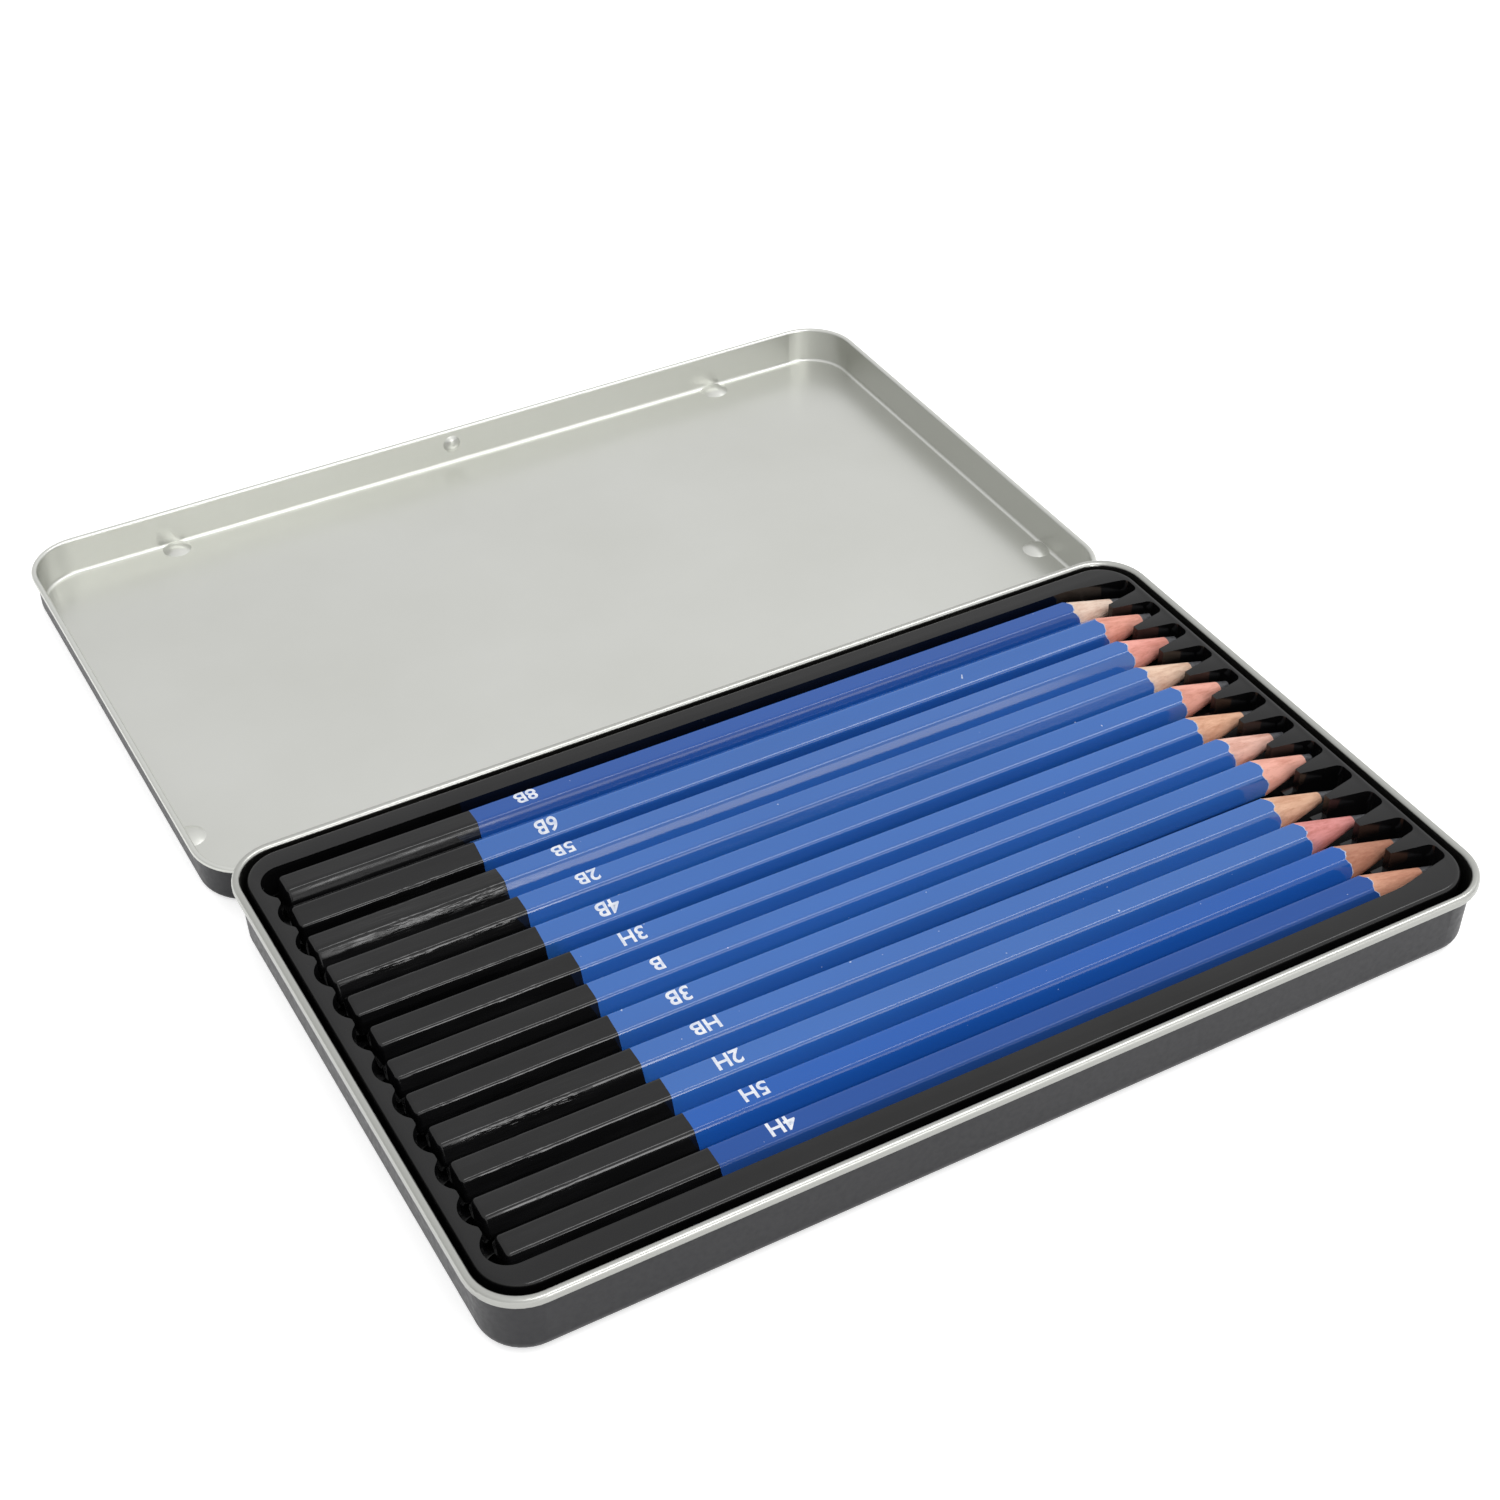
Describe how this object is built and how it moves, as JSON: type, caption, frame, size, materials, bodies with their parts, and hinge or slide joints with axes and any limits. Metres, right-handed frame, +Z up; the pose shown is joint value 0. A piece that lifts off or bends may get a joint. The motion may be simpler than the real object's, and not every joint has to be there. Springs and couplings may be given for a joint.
{
  "type": "pencil tin",
  "caption": "Flat hinged metal tin, open, holding a moulded tray of sharpened hexagonal graphite pencils in a row.",
  "frame": {"origin": "middle of the underside of the base tin, on the table", "axes": "+X along the tin towards the pencil points, +Y towards the hinge and the open lid, +Z up"},
  "size_m": [0.1928, 0.2307, 0.0149],
  "materials": {
    "tin_outside": "charcoal satin lacquer on tinplate, with a bare rolled rim",
    "tin_inside": "bare satin tinplate",
    "tray_plastic": "thin black vacuum-formed plastic",
    "casing_lacquer": "blue lacquer with a black dipped end over bare pinkish wood at the point",
    "graphite": "dull dark grey graphite"
  },
  "bodies": {
    "base": {"base_tin": "tin_outside"},
    "lid": {"lid_tin": "tin_inside"},
    "tray": {"insert_tray": "tray_plastic"},
    "pencil_8b": {"pencil_8b_casing": "casing_lacquer", "pencil_8b_lead": "graphite"},
    "pencil_6b": {"pencil_6b_casing": "casing_lacquer", "pencil_6b_lead": "graphite"},
    "pencil_5b": {"pencil_5b_casing": "casing_lacquer", "pencil_5b_lead": "graphite"},
    "pencil_2b": {"pencil_2b_casing": "casing_lacquer", "pencil_2b_lead": "graphite"},
    "pencil_4b": {"pencil_4b_casing": "casing_lacquer", "pencil_4b_lead": "graphite"},
    "pencil_3h": {"pencil_3h_casing": "casing_lacquer", "pencil_3h_lead": "graphite"},
    "pencil_b": {"pencil_b_casing": "casing_lacquer", "pencil_b_lead": "graphite"},
    "pencil_3b": {"pencil_3b_casing": "casing_lacquer", "pencil_3b_lead": "graphite"},
    "pencil_hb": {"pencil_hb_casing": "casing_lacquer", "pencil_hb_lead": "graphite"},
    "pencil_2h": {"pencil_2h_casing": "casing_lacquer", "pencil_2h_lead": "graphite"},
    "pencil_5h": {"pencil_5h_casing": "casing_lacquer", "pencil_5h_lead": "graphite"},
    "pencil_4h": {"pencil_4h_casing": "casing_lacquer", "pencil_4h_lead": "graphite"}
  },
  "joints": [
    {"name": "lid_hinge", "type": "hinge", "parent": "base", "child": "lid", "pos_m": [0, 0.05775, 0.00788], "axis": [-1, 0, 0], "range_deg": [-180, 0]},
    {"name": "tray_lift", "type": "slide", "parent": "base", "child": "tray", "axis": [0, 0, 1], "range_m": [0, 0.04]},
    {"name": "pencil_8b_lift", "type": "slide", "parent": "tray", "child": "pencil_8b", "axis": [0, 0, 1], "range_m": [0, 0.06]},
    {"name": "pencil_6b_lift", "type": "slide", "parent": "tray", "child": "pencil_6b", "axis": [0, 0, 1], "range_m": [0, 0.06]},
    {"name": "pencil_5b_lift", "type": "slide", "parent": "tray", "child": "pencil_5b", "axis": [0, 0, 1], "range_m": [0, 0.06]},
    {"name": "pencil_2b_lift", "type": "slide", "parent": "tray", "child": "pencil_2b", "axis": [0, 0, 1], "range_m": [0, 0.06]},
    {"name": "pencil_4b_lift", "type": "slide", "parent": "tray", "child": "pencil_4b", "axis": [0, 0, 1], "range_m": [0, 0.06]},
    {"name": "pencil_3h_lift", "type": "slide", "parent": "tray", "child": "pencil_3h", "axis": [0, 0, 1], "range_m": [0, 0.06]},
    {"name": "pencil_b_lift", "type": "slide", "parent": "tray", "child": "pencil_b", "axis": [0, 0, 1], "range_m": [0, 0.06]},
    {"name": "pencil_3b_lift", "type": "slide", "parent": "tray", "child": "pencil_3b", "axis": [0, 0, 1], "range_m": [0, 0.06]},
    {"name": "pencil_hb_lift", "type": "slide", "parent": "tray", "child": "pencil_hb", "axis": [0, 0, 1], "range_m": [0, 0.06]},
    {"name": "pencil_2h_lift", "type": "slide", "parent": "tray", "child": "pencil_2h", "axis": [0, 0, 1], "range_m": [0, 0.06]},
    {"name": "pencil_5h_lift", "type": "slide", "parent": "tray", "child": "pencil_5h", "axis": [0, 0, 1], "range_m": [0, 0.06]},
    {"name": "pencil_4h_lift", "type": "slide", "parent": "tray", "child": "pencil_4h", "axis": [0, 0, 1], "range_m": [0, 0.06]}
  ]
}
